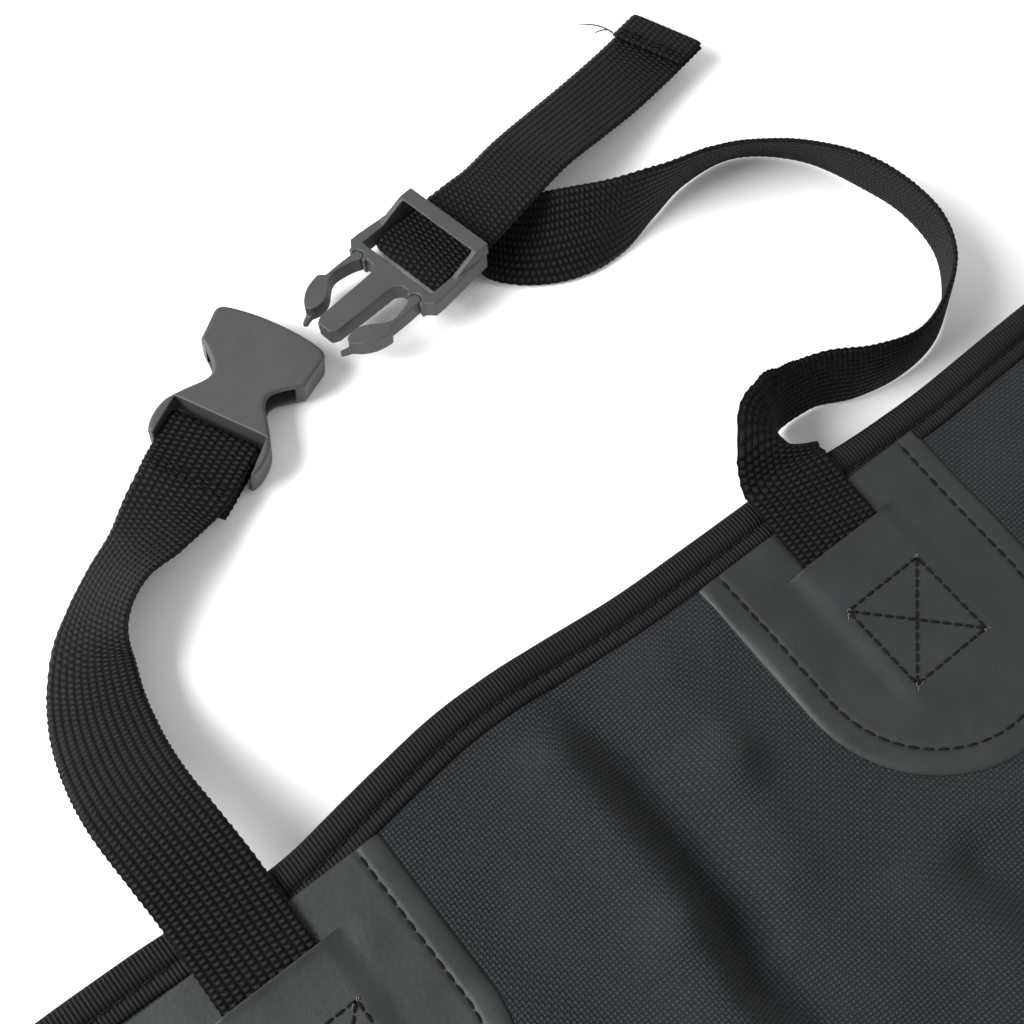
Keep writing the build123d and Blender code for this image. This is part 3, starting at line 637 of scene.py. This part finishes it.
def routeKnots(route, before, after):
    # place and width direction at each station: lean is about the line through its neighbours
    half, thin = webbing["width"] / 2, webbing["thick"] / 2
    places = []
    for x, y, lift, lean in route:
        turn = math.radians(lean)
        places.append(np.array([x, rimY + y, lift + half * abs(math.sin(turn)) + thin * abs(math.cos(turn))]))
    chain = [before] + places + [after]
    knots = []
    for i, (_, _, _, lean) in enumerate(route, start=1):
        along = chain[i + 1] - chain[i - 1]
        along /= np.linalg.norm(along)
        level = np.array([-along[1], along[0], 0])
        level /= np.linalg.norm(level)
        rise = np.cross(along, level)
        turn = math.radians(lean)
        knots.append(np.r_[chain[i], level * math.cos(turn) + rise * math.sin(turn)])
    return knots


def alignWidths(knots):
    # width directions all point the same way as the band turns
    for a, b in zip(knots, knots[1:]):
        if np.dot(a[3:], b[3:]) < 0:
            b[3:] = -b[3:]


def anchorKnots(xc):
    # out of the slit, over the patch and the bound rim
    heights = [(slitY - 5, 0.9), (slitY - 2, 1.1), (slitY + 0.4, 1.75), (slitY + 3, 2.2), (patchTop - 3, 2.2),
               (patchTop + 1, 2.45)]
    knots = [np.r_[xc, y, float(surfaceZ(xc, y)) + h, -1, 0, 0] for y, h in heights]
    knots.append(np.r_[xc, rimY - 4, (hinge["z"] * 2 + surfaceZ(xc, rimY - 4) + 2.5) / 3, -1, 0, 0])
    return knots + [np.r_[xc, hinge["y"] + hinge["gap"], hinge["z"], -1, 0, 0]]


# stations of the free webbing: x, y beyond the rim, height of the lowest edge, lean in degrees
leftRoute = [(-84.5, 13.0, 25.5, 0), (-85.0, 28.0, 22.0, -2), (-83.5, 43.0, 13.0, -8),
             (-80.5, 55.0, 5.0, -18), (-75.5, 65.5, 0.3, -30), (-68.0, 74.0, 0.3, -42),
             (-58.5, 80.0, 0.3, -42), (-47.5, 84.0, 0.8, -30), (-37.5, 88.5, 4.0, -12)]
rightRoute = [(86.0, 7.0, 22.5, 26), (91.0, 12.5, 13.0, 56), (97.0, 16.5, 4.5, 70), (105.0, 18.5, 0.8, 72),
              (115.0, 17.0, 0.3, 78), (127.0, 11.5, 0.3, 82), (141.0, 8.5, 0.3, 85), (156.5, 12.0, 0.3, 79),
              (167.0, 19.5, 0.3, 78), (173.5, 30.0, 0.3, 74), (174.5, 43.0, 0.3, 72), (170.5, 57.0, 0.3, 72),
              (161.5, 72.0, 0.3, 66), (148.3, 82.0, 0.3, 66), (132.6, 85.5, 0.3, 78), (117.8, 85.5, 0.3, 94),
              (104.0, 86.5, 0.3, 116), (92.5, 90.5, 0.3, 138), (82.5, 97.5, 0.4, 162),
              (75.5, 105.0, 2.0, 180)]
tailRoute = [(81.0, 111.5, 7.6, -20), (96.0, 114.8, 7.8, -22), (112.0, 118.2, 5.0, -20),
             (128.0, 121.6, 2.0, -18), (144.0, 125.0, 0.4, -18), (160.0, 128.4, 0.3, -18)]
socket = {"origin": np.array([-19.4, rimY + 97.0, 6.2]), "heading": np.array([0.886, 0.464, 0.0]),
          "barTurn": 2.5}
plug = {"origin": np.array([44.4, rimY + 107.0, 9.6]), "heading": np.array([-0.992, -0.127, 0.0]), "lean": 12.0,
        "reach": -24.0, "lower": -3.25, "upper": 0.45, "bend": -5.55}


def buildLeftStrap():
    ahead = socket["heading"] / np.linalg.norm(socket["heading"])
    side = np.cross((0, 0, 1.0), ahead)
    turn = socket["barTurn"]
    start = anchorKnots(leftX)
    end = socket["origin"] - 12 * ahead + np.array([0, 0, turn])
    knots = start + routeKnots(leftRoute, start[-1][:3], end)
    alignWidths(knots)
    across = side if np.dot(side, knots[-1][3:]) > 0 else -side
    loop = [(-12, turn), (-6, turn), (-2.0, turn)]
    loop += [(turn * math.sin(a), turn * math.cos(a)) for a in np.linspace(0, math.pi, 7)]
    loop += [(-3.0, -turn), (-12, -turn), (-17, -turn * 0.9)]
    for x, z in loop:
        knots.append(np.r_[socket["origin"] + ahead * x + np.array([0, 0, z]), across])
    piece = webbingBand("leftStrap", knots)[0]
    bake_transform(piece)
    place(piece, None, "webbing", "strap_anchor_left", "strap_left", "strap_loop_left")
    rows = []
    for back in (-13.6, -11.4):
        t = np.linspace(-10.5, 10.5, 24)
        spot = socket["origin"] + ahead * back + np.array([0, 0, turn + 0.86])
        rows.append(spot + side * t[:, None])
    tack = stitchMesh("loopTack", rows, {**topStitch, "pitch": 2.4, "thick": 0.65})
    place(tack, "left_strap", "thread", "loop_tack")


def plugPoint(x, z, y=0.0):
    ahead = plug["heading"] / np.linalg.norm(plug["heading"])
    level = np.cross((0, 0, 1.0), ahead)
    turn = math.radians(plug["lean"])
    upward = np.array([0, 0, 1.0]) * math.cos(turn) - level * math.sin(turn)
    sideways = level * math.cos(turn) + np.array([0, 0, 1.0]) * math.sin(turn)
    return plug["origin"] + ahead * x + upward * z + sideways * y, sideways


def buildRightStrap():
    start = anchorKnots(rightX)
    first, side = plugPoint(plug["reach"], plug["lower"])
    knots = start + routeKnots(rightRoute, start[-1][:3], first)
    b, lo, hi = plug["bend"], plug["lower"], plug["upper"]
    centre, r = (lo + hi) / 2, (hi - lo) / 2
    wrap = [(plug["reach"], lo), (-16, lo), (b - r, lo)]
    wrap += [(b - r + r * math.sin(a), centre - r * math.cos(a)) for a in np.linspace(0, math.pi, 7)[1:-1]]
    wrap += [(b - r, hi), (-16, hi), (plug["reach"], hi)]
    for x, z in wrap:
        knots.append(np.r_[plugPoint(x, z)[0], -side])
    last = plugPoint(plug["reach"], hi)[0]
    tail = routeKnots(tailRoute, last, last)
    tail[-1][3:] = tail[-2][3:]
    knots += tail
    alignWidths(knots)
    piece, middle, wide, up = webbingBand("rightStrap", knots)
    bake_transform(piece)
    place(piece, None, "webbing", "strap_anchor_right", "strap_right", "strap_wrap", "strap_tail")

    # folded hem on the upper side of the tail's end, with its stitching and two loose threads
    count = int(10.5 / webbing["step"])
    face = up if up[-1][2] > 0 else -up
    hemKnots = [np.r_[middle[i] + face[i] * 1.55, wide[i]] for i in (-1, -count // 2, -count)]
    hem = webbingBand("tailHem", hemKnots, phase=0.7)[0]
    place(hem, "right_strap", "webbing", "tail_hem")
    rows = []
    for back in (-count + 4, -count + 7):
        t = np.linspace(-11, 11, 24)
        rows.append(middle[back] + face[back] * 2.45 + wide[back] * t[:, None])
    hemStitch = {**topStitch, "pitch": 2.4, "thick": 0.65}
    place(stitchMesh("hemStitches", rows, hemStitch), "right_strap", "thread")
    threads = []
    for turn, length in ((0.4, 9.0), (-0.5, 6.5)):
        t = np.linspace(0, 1, 24)
        farEdge = 11.6 if wide[-count][1] > 0 else -11.6
        origin = middle[-count] + face[-count] * 1.9 + wide[-count] * farEdge
        sideways = -length * 0.6 * t + 1.5 * np.sin(3 * t)
        curve = np.stack([sideways, length * t + turn * 3 * t**2, -2.2 * t**2], -1)
        threads.append(origin + curve)
    thin = {"pitch": 40, "share": 0.98, "lift": 0.2, "sink": 0.0, "thick": 0.4}
    place(stitchMesh("looseThreads", threads, thin), "right_strap", "thread")


buildLeftStrap()
buildRightStrap()
print("stage: webbing")


def moulded(node, name, body, voxel=0.24, passes=5):
    # rounded, even skin over the frame's own shape
    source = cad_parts[node]
    work = bpy.data.objects.new("work", source.data.copy())
    bpy.context.scene.collection.objects.link(work)
    remesh = work.modifiers.new("remesh", "REMESH")
    remesh.mode, remesh.voxel_size, remesh.adaptivity = "VOXEL", voxel * mm, 0.0
    soften = work.modifiers.new("soften", "SMOOTH")
    soften.factor, soften.iterations = 0.6, passes
    evaluated = work.evaluated_get(bpy.context.evaluated_depsgraph_get())
    mesh = bpy.data.meshes.new_from_object(evaluated)
    bpy.data.objects.remove(work)
    mesh.name = name
    mesh.materials.clear()
    mesh.materials.append(finishes["plastic"])
    mesh.shade_smooth()
    piece = bpy.data.objects.new(name, mesh)
    bpy.context.scene.collection.objects.link(piece)
    return place(piece, body, "buckle", node)


moulded("socket_body", "socketShell", "socket")
moulded("plug_frame", "plugFrame", "right_strap")
moulded("latch_arm_left", "latchArmLeft", "latch_left", 0.2, 4)
moulded("latch_arm_right", "latchArmRight", "latch_right", 0.2, 4)
print("stage: buckle")


def tapeAlong(name, x, y, height, look="tape"):
    # x, y: plan grids; rows run along the tape
    run = np.r_[0, np.cumsum(np.hypot(np.diff(x[:, 0]), np.diff(y[:, 0])))]
    s = np.linspace(-1, 1, x.shape[1])
    ribs = 0.12 * np.abs(np.sin(math.pi * run))[:, None]
    top = height * (1 - 0.55 * np.abs(s) ** 8) + ribs
    z = surfaceZ(x, y)
    uv = np.stack([np.repeat(run[:, None], x.shape[1], axis=1), np.repeat(s[None] * 4, len(run), axis=0)], -1)
    return slab(name, np.stack([x, y, z + top], -1), np.stack([x, y, z - 0.3 + 0 * top], -1), uv, look)


def buildSeams():
    seam = {"width": 8.0, "height": 1.2}
    s = np.linspace(0, 1, 14)
    for side, sign, node in (("Left", -1, "seam_tape_left"), ("Right", 1, "seam_tape_right")):
        y = np.arange(baseY, rimY - 9, 0.34)[:, None] + 0 * s
        x = sign * (halfWidth + 0.3 - seam["width"] * s) + 0 * y
        place(tapeAlong("seamTape" + side, x, y, seam["height"]), "front", "binding", node)
        line = np.arange(baseY + 4, rimY - 12, 1.0)
        xs = np.full_like(line, sign * (halfWidth - seam["width"] + 1.6))
        path = np.stack([xs, line, surfaceZ(xs, line) + seam["height"] + 0.15], -1)
        place(stitchMesh("seamStitches" + side, [path], topStitch), "front", "thread")
    x = np.arange(-halfWidth + seam["width"], halfWidth - seam["width"], 0.34)[:, None] + 0 * s
    y = baseY - 0.3 + seam["width"] * s + 0 * x
    place(tapeAlong("baseSeamTape", x, y, seam["height"]), "front", "binding", "base_seam_tape")


def pocketHeight(x, y, pocket):
    part = (x + pocket["half"]) / (2 * pocket["half"]) * pocket["count"]
    bulge = np.abs(np.sin(math.pi * part)) ** 0.7
    rise = ease((y - pocket["y0"]) / 90) * 0.65 + ease((y - pocket["y0"]) / 18) * 0.35
    sag = 1 + 0.12 * np.sin(x / 23 + 1) - 0.10 * np.cos(x / 11)
    crease = 0.35 * np.sin(y / 7 + 2 * np.sin(x / 19)) * bulge
    return 1.2 + (pocket["gap"] * rise * sag + crease) * bulge


def buildPockets():
    low, high = span("pocket_cloth")
    pocket = {"count": 4, "y0": low[1], "y1": high[1], "half": high[0], "gap": 10.0, "thick": 1.1,
              "tape": 9.0}
    x = np.linspace(-pocket["half"], pocket["half"], 420)[None, :]
    y = np.linspace(pocket["y0"], pocket["y1"], 130)[:, None]
    x2, y2 = x + 0 * y, y + 0 * x
    dip = 2.5 * np.abs(np.sin(math.pi * (x2 + pocket["half"]) / (2 * pocket["half"]) * pocket["count"]))
    y2 = y2 - dip * ease((y2 - pocket["y1"] + 60) / 60)
    top = pocketHeight(x2, y2, pocket)
    piece = laid("pocketCloth", x2, y2, top, top - pocket["thick"], "cloth")
    place(piece, "front", "canvas", "pocket_cloth")
    x = np.arange(-pocket["half"], pocket["half"], 0.34)[:, None]
    s = np.linspace(0, 1, 14)[None, :]
    dip = 2.5 * np.abs(np.sin(math.pi * (x + pocket["half"]) / (2 * pocket["half"]) * pocket["count"]))
    x2, y2 = x + 0 * s, pocket["y1"] + 0.4 - pocket["tape"] * s - dip
    over = pocketHeight(x2, y2, pocket)
    ribs = 0.12 * np.abs(np.sin(math.pi * x2))
    z = surfaceZ(x2, y2)
    top = z + over + 0.8 * (1 - 0.6 * np.abs(2 * s - 1) ** 8) + ribs
    under = z + over - pocket["thick"] - 0.7 * (s < 0.7) + 0.4 * (s > 0.7)
    uv = np.stack([x2, y2], -1)
    piece = slab("pocketTape", np.stack([x2, y2, top], -1), np.stack([x2, y2, under], -1), uv, "tape")
    place(piece, "front", "binding", "pocket_tape")
    paths = []
    for i in range(1, pocket["count"]):
        y = np.arange(pocket["y0"] + 3, pocket["y1"] - 3, 1.0)
        for off in (-1.0, 1.0):
            xs = np.full_like(y, -pocket["half"] + i * 2 * pocket["half"] / pocket["count"] + off)
            paths.append(np.stack([xs, y, surfaceZ(xs, y) + pocketHeight(xs, y, pocket) + 0.1], -1))
    place(stitchMesh("pocketStitches", paths, topStitch), "front", "thread", "pocket_stitch")


buildSeams()
buildPockets()
print("stage: seams and pockets")


def buildLowerPanel():
    panel = {"corner": 14.0, "thick": 1.5}
    y = np.linspace(baseY + 0.4, rimY - 1.0, 220)[:, None]
    inset = np.maximum(panel["corner"] - (y - baseY), 0) + np.maximum(panel["corner"] - (rimY - y), 0)
    half = halfWidth - 0.9 - panel["corner"] + np.sqrt(np.maximum(panel["corner"] ** 2 - inset ** 2, 0.5))
    s = np.linspace(-1, 1, 260)[None, :]
    x = half * s
    y = y + 0 * s
    wave = 0.35 * np.sin(x / 19) * np.sin(y / 23) + 0.25 * np.sin(x / 7 + y / 12)
    top = 2.3 + wave * 0.6
    bottom = 0.75 + wave * 0.5
    uv = np.stack([y, x], -1)
    piece = slab("lowerPanel", np.stack([x, y, top], -1), np.stack([x, y, bottom], -1), uv, "cloth")
    place(piece, "bag", "canvas", "bottom_panel")


def shellPath(corner=14.0):
    # plan of the walls: from the rim down one side, round the base, up the other side
    w = halfWidth - 1.2
    lowY = baseY + 0.9
    side = [(w, y) for y in np.linspace(rimY - 1.5, lowY + corner, 150)]
    turn = [(w - corner + corner * math.cos(a), lowY + corner - corner * math.sin(a))
            for a in np.linspace(0, math.pi / 2, 24)[1:-1]]
    base = [(x, lowY) for x in np.linspace(w - corner, 0, 90)]
    half = np.array(side + turn + base)
    other = half[::-1][1:] * np.array([-1, 1])
    return np.concatenate([half, other])


def blendOverGusset(piece):
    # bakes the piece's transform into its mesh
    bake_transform(piece)


def buildShell():
    shell = {"foot": 2.0, "drop": 1.9, "thick": 1.3, "pleat": 11.0, "bulge": 2.2}
    plan = shellPath()
    along = np.gradient(plan, axis=0)
    along /= np.linalg.norm(along, axis=1)[:, None]
    inward = np.stack([along[:, 1], -along[:, 0]], -1)
    if np.dot(inward[0], [-1, 0]) < 0:
        inward = -inward
    run = np.r_[0, np.cumsum(np.linalg.norm(np.diff(plan, axis=0), axis=1))]
    t = np.linspace(0, 1, 46)[None, :]
    x, y = plan[:, :1], plan[:, 1:]
    ceiling = surfaceZ(np.clip(x, -halfWidth, halfWidth), y) - shell["drop"]
    toRim = ease((y - baseY - 30) / 260)
    fold = shell["pleat"] * (0.25 + 0.75 * toRim) * np.sin(math.pi * t) ** 1.4
    fold = np.where(y > baseY + 14, fold, -shell["bulge"] * 0.3 * np.sin(math.pi * t))
    blendIn = ease((y - baseY - 6) / 40)
    fold = fold * blendIn - shell["bulge"] * 0.2 * np.sin(math.pi * t) * (1 - blendIn)
    sags = (0.8 * np.sin(run / 17)[:, None] * np.sin(2 * math.pi * t) + 0.5 * np.sin(run / 7 + 1)[:, None]
            * np.sin(math.pi * t)) * np.sin(math.pi * t)
    px = x + inward[:, :1] * (fold + sags)
    py = y + inward[:, 1:] * (fold + sags)
    pz = shell["foot"] + t * (ceiling - shell["foot"])
    outer = np.stack([px, py, pz], -1)
    inner = outer + np.concatenate([inward, np.zeros((len(plan), 1))], 1)[:, None] * shell["thick"]
    uv = np.stack([np.repeat(run[:, None], t.shape[1], axis=1), pz], -1)
    piece = slab("sideShell", outer, inner, uv, "cloth")
    blendOverGusset(piece)
    place(piece, None, "canvas", "gusset_left", "gusset_right", "base_panel")


def edgeTape(name, points, outward, lift, look, body, *nodes):
    # a rounded ribbed tape along a line of points, standing in the direction outward
    points = np.asarray(points, float)
    run = np.r_[0, np.cumsum(np.linalg.norm(np.diff(points, axis=0), axis=1))]
    s = np.linspace(0, 1, 12)
    ribs = 0.1 * np.abs(np.sin(math.pi * run))[:, None]
    bulk = lift["thick"] * (1 - 0.6 * np.abs(2 * s - 1) ** 6)[None] + ribs
    spread = points[:, None] + np.asarray(lift["across"], float) * (s * lift["width"])[None, :, None]
    top = spread + np.asarray(outward, float) * bulk[..., None]
    level = np.repeat(s[None] * lift["width"], len(run), axis=0)
    uv = np.stack([np.repeat(run[:, None], len(s), axis=1), level], -1)
    return place(slab(name, top, spread, uv, look), body, "binding", *nodes)


def buildLowerTapes():
    x = np.arange(-halfWidth + 15, halfWidth - 15, 0.34)
    line = np.stack([x, 0 * x + baseY + 0.2, 0 * x + 0.1], -1)
    edgeTape("footTape", line, (0, -1, 0), {"across": (0, 0, 1), "width": 8.0, "thick": 1.2}, "tape", "bag",
             "base_foot_tape")
    offset = -np.array([10.5, 10.2, 8.5, 7.2, 6.8, 6.4, 4.5, 2.5, 1.0, 0.3, 0])
    over = 2.3 + np.array([.1, .6, .8, .7, .35, .7, .9, .95, .8, .4, 0])
    under = np.array([.6, .1, .05, .1, .2, .1, .05, .05, .1, .35, .8])
    gx, gy = x[:, None] + 0 * offset, rimY - 0.1 + offset[None] + 0 * x[:, None]
    ribs = 0.1 * np.abs(np.sin(math.pi * x))[:, None]
    outside, underside = np.stack([gx, gy, over + ribs], -1), np.stack([gx, gy, under + 0 * gx], -1)
    piece = slab("lowerRimBinding", outside, underside, np.stack([gx, gy], -1), "tape")
    place(piece, "bag", "binding", "rim_binding_bottom")
    path = np.stack([x, 0 * x + rimY - 6.9, 0 * x + 2.75], -1)
    place(stitchMesh("lowerRimStitches", [path], topStitch), "bag", "thread")


def buildSideBindings():
    # bound ends of the gusset at the mouth, following its pleat
    for side, sign, node in (("Left", -1, "rim_binding_left"), ("Right", 1, "rim_binding_right")):
        t = np.linspace(0, 1, 90)
        top = float(surfaceZ(sign * (halfWidth - 3), rimY - 1)) - 2.6
        x = sign * (halfWidth - 1.9 - 10.8 * np.sin(math.pi * t) ** 1.4)
        z = 3.4 + t * (top - 3.4)
        middle = np.stack([x, 0 * x + rimY - 1.6, z], -1)
        along = np.gradient(middle, axis=0)
        along /= np.linalg.norm(along, axis=1)[:, None]
        out = np.cross(along, (0, 1.0, 0))
        ring = np.linspace(0, math.pi, 9)
        ribs = 1 + 0.08 * np.abs(np.sin(math.pi * np.arange(90) * 0.5))[:, None]
        deep = np.array([0, 1.0, 0])
        aside, beyond = 1.25 * np.cos(ring) * ribs, 1.3 * np.sin(ring) * ribs
        near = middle[:, None] + out[:, None] * aside[..., None] + deep * beyond[..., None]
        far = near * 1.0
        far[..., 1] = rimY - 7.5 + 0.2 * np.sin(ring)
        uv = np.stack([np.repeat(t[:, None] * 20, 9, axis=1), np.repeat(ring[None] * 2, 90, axis=0)], -1)
        piece = slab("mouthBinding" + side, near, far, uv, "tape")
        blendOverGusset(piece)
        place(piece, None, "binding", node)


def buildStiffener():
    low, high = span("base_stiffener")
    x = np.linspace(low[0], high[0], 120)[:, None]
    t = np.linspace(0, 1, 20)[None, :]
    z = low[2] + t * (high[2] - low[2])
    bow = 0.4 * np.sin(math.pi * t) * np.cos(x / 60)
    near = np.stack([x + 0 * t, low[1] + 0.6 + bow, z + 0 * x], -1)
    far = np.stack([x + 0 * t, high[1] + bow, z + 0 * x], -1)
    piece = slab("baseBoard", near, far, np.stack([x + 0 * t, z + 0 * x], -1), "board")
    place(piece, "bag", "board", "base_stiffener")


buildLowerPanel()
buildShell()
buildLowerTapes()
buildSideBindings()
buildStiffener()
print("stage: shell and lower panel")


def buildStudio():
    studio = {"floor": 6.0, "key": 26.0, "fill": 2.0, "sky": 0.62}
    bpy.ops.mesh.primitive_plane_add(size=studio["floor"], location=(0, 0.08, -0.0002))
    floor = bpy.context.object
    floor.name = "floor"
    material = bpy.data.materials.new("paleFloor")
    material.use_nodes = True
    shader = material.node_tree.nodes["Principled BSDF"]
    shader.inputs["Base Color"].default_value = (0.93, 0.93, 0.93, 1)
    shader.inputs["Roughness"].default_value = 0.85
    floor.data.materials.append(material)
    world = bpy.data.worlds.new("studio")
    bpy.context.scene.world = world
    world.use_nodes = True
    world.node_tree.nodes["Background"].inputs[0].default_value = (1, 1, 1, 1)
    world.node_tree.nodes["Background"].inputs[1].default_value = studio["sky"]
    for name, spot, power, size in (("keyLight", (-0.75, 0.55, 0.75), studio["key"], 0.6),
                                    ("fillLight", (0.8, -0.1, 0.9), studio["fill"], 0.9)):
        data = bpy.data.lights.new(name, "AREA")
        data.energy, data.size = power, size
        light = bpy.data.objects.new(name, data)
        bpy.context.scene.collection.objects.link(light)
        light.location = spot
        light.rotation_euler = (Vector((0.02, 0.15, 0)) - Vector(spot)).to_track_quat("-Z", "Y").to_euler()
    bpy.context.scene.view_settings.view_transform = "Standard"


buildStudio()
print("stage: studio")
